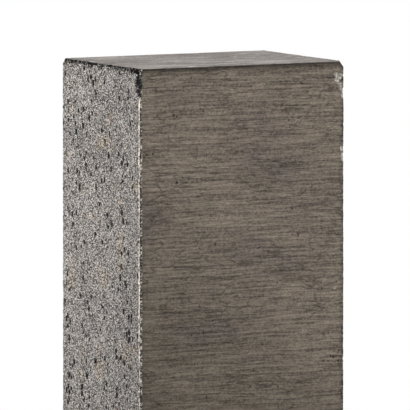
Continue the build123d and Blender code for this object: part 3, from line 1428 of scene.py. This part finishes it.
def swept(path: np.ndarray, ring: np.ndarray, closed: bool) -> tuple[np.ndarray, list]:
    """A tube along a path, with its own outline at every point of it.

    Args:
        path: The path's points, one row each.
        ring: For each point of the path, the radius at each step round the tube.
        closed: Whether the path's end meets its start.

    Returns:
        The points and the faces.
    """
    count, sides = ring.shape
    if closed:
        along = np.roll(path, -1, 0) - np.roll(path, 1, 0)
    else:
        along = np.gradient(path, axis=0)
    along /= np.linalg.norm(along, axis=1)[:, None]
    across = np.empty_like(path)
    seed = np.eye(3)[np.argmin(np.abs(along[0]))]
    for row in range(count):
        seed = seed - along[row] * (seed @ along[row])
        seed /= np.linalg.norm(seed)
        across[row] = seed
    upward = np.cross(along, across)
    angle = np.linspace(0.0, 2 * math.pi, sides, endpoint=False)
    round_it = np.cos(angle)[None, :, None] * across[:, None] + np.sin(angle)[None, :, None] * upward[:, None]
    points = (path[:, None] + round_it * ring[:, :, None]).reshape(-1, 3)
    faces = []
    for row in range(count if closed else count - 1):
        here, there = row * sides, (row + 1) % count * sides
        for side in range(sides):
            beside = (side + 1) % sides
            faces.append((here + side, here + beside, there + beside, there + side))
    if not closed:
        faces.append(tuple(reversed(range(sides))))
        faces.append(tuple(range((count - 1) * sides, count * sides)))
    return points, faces


@dataclass
class MainBars:
    """The four ribbed bars up the corners of the cage."""

    finish: bpy.types.Material
    corners: tuple[str, ...] = ("front_left", "front_right", "back_left", "back_right")
    sides: int = 20
    step: float = 1.0 * MM
    rib_pitch: float = 5.2 * MM
    rib_height: float = 0.35 * MM
    rib_slant: float = 2.2
    rib_flank: Span = (0.55, 0.85)
    long_rib_width: float = 0.2
    end_taper: float = 1.6

    def build(self) -> None:
        """Build and dress each bar."""
        for corner in self.corners:
            node = f"bar_{corner}"
            piece = new_object(f"ribbed_{node}", *self._mesh(*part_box(node)))
            place_piece(piece, self.finish, Slot.STEEL, node)

    def _mesh(self, low: Vector, high: Vector) -> tuple[np.ndarray, list]:
        """One bar: a round core, two long ribs and slanted cross ribs.

        Args:
            low: The lowest corner of the bar's box.
            high: The highest corner of the bar's box.

        Returns:
            The points and the faces.
        """
        middle = (low + high) / 2
        radius = (high.x - low.x) / 2
        count = round((high.z - low.z) / self.step) + 1
        heights = np.linspace(low.z, high.z, count)
        path = np.stack([np.full(count, middle.x), np.full(count, middle.y), heights], 1)
        angle = np.linspace(0.0, 2 * math.pi, self.sides, endpoint=False)
        phase = heights[:, None] / self.rib_pitch + self.rib_slant * np.abs(np.sin(angle / 2.0)) / math.pi
        wave = np.abs((phase % 1.0) - 0.5) * 2.0
        long_rib = np.abs(np.sin(angle)) < self.long_rib_width
        ribs = smoothstep(wave, *self.rib_flank) * (1.0 - long_rib) + long_rib
        ring = radius - self.rib_height + self.rib_height * ribs
        ring[[0, -1]] = radius - self.rib_height * self.end_taper
        return swept(path, ring, closed=False)


@dataclass
class Links:
    """The closed links round the bars, each with its butt weld."""

    finish: bpy.types.Material
    count: int = 6
    bend: float = 15.0 * MM
    sides: int = 14
    step: float = 1.6 * MM
    weld_width: float = 2.2 * MM
    weld_height: float = 0.10 * MM
    weld_places: Span = (0.63, 0.13)

    def build(self) -> None:
        """Build and dress each link."""
        for number in range(1, self.count + 1):
            node = f"link_{number}"
            piece = new_object(f"welded_{node}", *self._mesh(*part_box(node), number))
            place_piece(piece, self.finish, Slot.STEEL, node)

    def _mesh(self, low: Vector, high: Vector, number: int) -> tuple[np.ndarray, list]:
        """One link: wire along a rectangle with round corners, swollen at its weld.

        Args:
            low: The lowest corner of the link's box.
            high: The highest corner of the link's box.
            number: The link's number, which turns its weld to another side.

        Returns:
            The points and the faces.
        """
        radius = (high.z - low.z) / 2
        middle = np.array((low + high) / 2)
        half_x = (high.x - low.x) / 2 - radius
        half_y = (high.y - low.y) / 2 - radius
        outline = self._outline(half_x, half_y)
        path = np.column_stack([outline, np.zeros(len(outline))]) + middle
        weld = path[round(len(path) * self.weld_places[number % 2])]
        near_weld = np.exp(-((np.linalg.norm(path - weld, axis=1) / self.weld_width) ** 2))
        core = radius - self.weld_height
        ring = core + near_weld[:, None] * self.weld_height * np.ones(self.sides)
        return swept(path, ring, closed=True)

    def _outline(self, half_x: float, half_y: float) -> np.ndarray:
        """Evenly spaced points of the round-cornered rectangle.

        Args:
            half_x: Half its size along X.
            half_y: Half its size along Y.

        Returns:
            The points, one row each.
        """
        corners = []
        turns = np.linspace(0.0, math.pi / 2, round(self.bend * math.pi / 2 / self.step) + 1)
        for quarter, (side_x, side_y) in enumerate(((1, 1), (-1, 1), (-1, -1), (1, -1))):
            angle = turns + quarter * math.pi / 2
            x = side_x * (half_x - self.bend) + self.bend * np.cos(angle)
            y = side_y * (half_y - self.bend) + self.bend * np.sin(angle)
            corners.append(np.stack([x, y], 1))
        arcs = np.concatenate(corners)
        ahead = np.roll(arcs, -1, 0)
        outline = []
        for start, end in zip(arcs, ahead):
            pieces = max(1, round(float(np.linalg.norm(end - start)) / self.step))
            outline += [start + (end - start) * part / pieces for part in range(pieces)]
        return np.array(outline)


@dataclass
class TieWires:
    """The wires that tie the bars to the links, four to a link."""

    finish: bpy.types.Material
    count: int = 6
    wire: float = 0.6 * MM
    loop: float = 8.49 * MM
    loop_points: int = 40
    tail: float = 13.0 * MM
    tail_turns: float = 3.5
    tail_points: int = 48
    sides: int = 8

    def build(self) -> None:
        """Build and dress each link's ties as one piece."""
        for number in range(1, self.count + 1):
            node = f"tie_wires_{number}"
            low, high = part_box(node)
            points, faces = [], []
            start = 0
            for side_x in (-1, 1):
                for side_y in (-1, 1):
                    for path, closed in self._tie(low, high, side_x, side_y):
                        more, shape = swept(path, np.full((len(path), self.sides), self.wire), closed)
                        faces += [tuple(start + corner for corner in face) for face in shape]
                        points.append(more)
                        start += len(more)
            piece = new_object(f"twisted_{node}", np.concatenate(points), faces)
            place_piece(piece, self.finish, Slot.TIE_WIRE, node)

    def _tie(self, low: Vector, high: Vector, side_x: int, side_y: int) -> list[tuple[np.ndarray, bool]]:
        """The paths of one tie: its loop and the two twisted ends.

        Args:
            low: The lowest corner of the four ties' box.
            high: The highest corner of the four ties' box.
            side_x: The side of the post along X.
            side_y: The side of the post along Y.

        Returns:
            Each path with whether it is closed.
        """
        outward = np.array([side_x, side_y, 0.0]) / math.sqrt(2)
        along_link = np.array([-side_y, side_x, 0.0]) / math.sqrt(2)
        slanted = (np.array([0.0, 0.0, 1.0]) + along_link) / math.sqrt(2)
        square = np.cross(outward, slanted)
        reach = self.loop * math.hypot(outward[0], slanted[0]) + self.wire
        aside = np.array([side_x, side_y, 0.0]) * ((np.array(high) - np.array(low)) / 2 - reach)
        corner = np.array((low + high) / 2) + aside
        angle = np.linspace(0.0, 2 * math.pi, self.loop_points, endpoint=False)[:, None]
        loop = corner + self.loop * (np.cos(angle) * outward + np.sin(angle) * slanted)
        root = corner - outward * self.loop
        share = np.linspace(0.0, 1.0, self.tail_points)[:, None]
        paths = [(loop, True)]
        for half_turn in (0.0, math.pi):
            turn = share * self.tail_turns * 2 * math.pi + half_turn
            twist = self.wire * (np.cos(turn) * slanted + np.sin(turn) * square)
            paths.append((root - outward * share * self.tail + twist, False))
        return paths


@dataclass
class Spacers:
    """The plastic chairs, which keep their CAD shape."""

    finish: bpy.types.Material
    prefix: str = "spacer_"

    def dress(self) -> None:
        """Give each spacer its finish."""
        for name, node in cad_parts.items():
            if name.startswith(self.prefix):
                node.data.materials.clear()
                node.data.materials.append(self.finish)
                log.info("%s: dressed", name)


# --- The studio ----------------------------------------------------------------------------


def direction(azimuth: float, elevation: float) -> Vector:
    """The way from the post to something round it.

    Args:
        azimuth: Degrees round from the front, towards +X.
        elevation: Degrees above the horizon.

    Returns:
        The unit vector.
    """
    turn, rise = math.radians(azimuth), math.radians(elevation)
    return Vector((math.sin(turn) * math.cos(rise), -math.cos(turn) * math.cos(rise), math.sin(rise)))


@dataclass(frozen=True)
class Lamp:
    """One soft square lamp: where it hangs, in degrees and metres, its side and its watts."""

    name: str
    azimuth: float
    elevation: float
    distance: float
    side: float
    power: float

    def hang(self, target: Vector) -> None:
        """Add the lamp.

        Args:
            target: The point that it faces.
        """
        light = bpy.data.lights.new(self.name, "AREA")
        light.shape = "SQUARE"
        light.size = self.side
        light.energy = self.power
        lamp = bpy.data.objects.new(self.name, light)
        bpy.context.scene.collection.objects.link(lamp)
        back = direction(self.azimuth, self.elevation)
        lamp.location = target + back * self.distance
        lamp.rotation_euler = back.to_track_quat("Z", "Y").to_euler()


@dataclass
class Studio:
    """The floor, the soft lights and the camera."""

    lamps: tuple[Lamp, ...] = (
        Lamp("key", -72.0, 50.0, 2.2, 0.7, 34.0),
        Lamp("rim", -125.0, 14.0, 0.55, 0.25, 2.6),
        Lamp("overhead", -20.0, 80.0, 2.4, 1.0, 16.0),
        Lamp("fill", 84.0, 8.0, 3.6, 2.2, 120.0),
        Lamp("back", 150.0, 30.0, 3.6, 2.2, 16.0),
    )
    lamp_target: float = 0.75
    sky_rise: float = 0.12
    horizon_light: float = 1.0
    sky_light: float = 0.3
    white: Sizes = (1.0, 1.0, 1.0, 1.0)
    azimuth: float = -28.0
    elevation: float = 5.07
    lens: float = 879.0
    sensor: float = 36.0
    clip: Span = (0.1, 100.0)
    distance: float = 7.2
    aim_below_top: float = 104.6 * MM
    aim_aside: float = 1.55 * MM
    floor_half: float = 3.5

    def build(self) -> None:
        """Set up everything round the post."""
        self._floor()
        self._surround()
        target = Vector((0.0, 0.0, CAD_BOX[1].z * self.lamp_target))
        for lamp in self.lamps:
            lamp.hang(target)
        self._camera()
        view = bpy.context.scene.view_settings
        view.view_transform = "Standard"
        view.look = "None"
        view.exposure = 0.0
        view.gamma = 1.0

    def _floor(self) -> None:
        """The floor that the post stands on."""
        half = self.floor_half
        points = np.array([[-half, -half, 0], [half, -half, 0], [half, half, 0], [-half, half, 0]])
        floor = new_object("studio_floor", points, [(0, 1, 2, 3)])
        floor.data.materials.append(StudioFloor().material())

    def _surround(self) -> None:
        """A white surround from the horizon down, and a dim sky above it."""
        graph = Graph(bpy.data.worlds.new("surround"), "Background", "Generated")
        inputs = {"Value": graph.axes()[2], "From Max": self.sky_rise}
        inputs |= {"To Min": self.horizon_light, "To Max": self.sky_light}
        light = graph.node("ShaderNodeMapRange", {}, inputs).outputs[0]
        bpy.context.scene.world = graph.finish(Color=self.white, Strength=light)

    def _camera(self) -> None:
        """Look down a long lens at the post's upper end."""
        camera = bpy.data.cameras.new("camera")
        camera.lens = self.lens
        camera.sensor_width = self.sensor
        camera.clip_start, camera.clip_end = self.clip
        eye = bpy.data.objects.new("camera", camera)
        bpy.context.scene.collection.objects.link(eye)
        back = direction(self.azimuth, self.elevation)
        turn = back.to_track_quat("Z", "Y")
        aside = turn @ Vector((1.0, 0.0, 0.0))
        up = turn @ Vector((0.0, 1.0, 0.0))
        aim = Vector((0.0, 0.0, CAD_BOX[1].z)) + aside * self.aim_aside - up * self.aim_below_top
        eye.location = aim + back * self.distance
        eye.rotation_mode = "QUATERNION"
        eye.rotation_quaternion = turn
        bpy.context.scene.camera = eye


def main() -> None:
    """Build the post and the studio."""
    logging.basicConfig(level=logging.INFO, format="%(name)s: %(message)s")
    ConcreteBody().build()
    steel = RolledSteel().material()
    MainBars(steel).build()
    Links(steel).build()
    TieWires(AnnealedWire().material()).build()
    Spacers(MouldedPlastic().material()).dress()
    Studio().build()


if __name__ == "__main__":
    main()
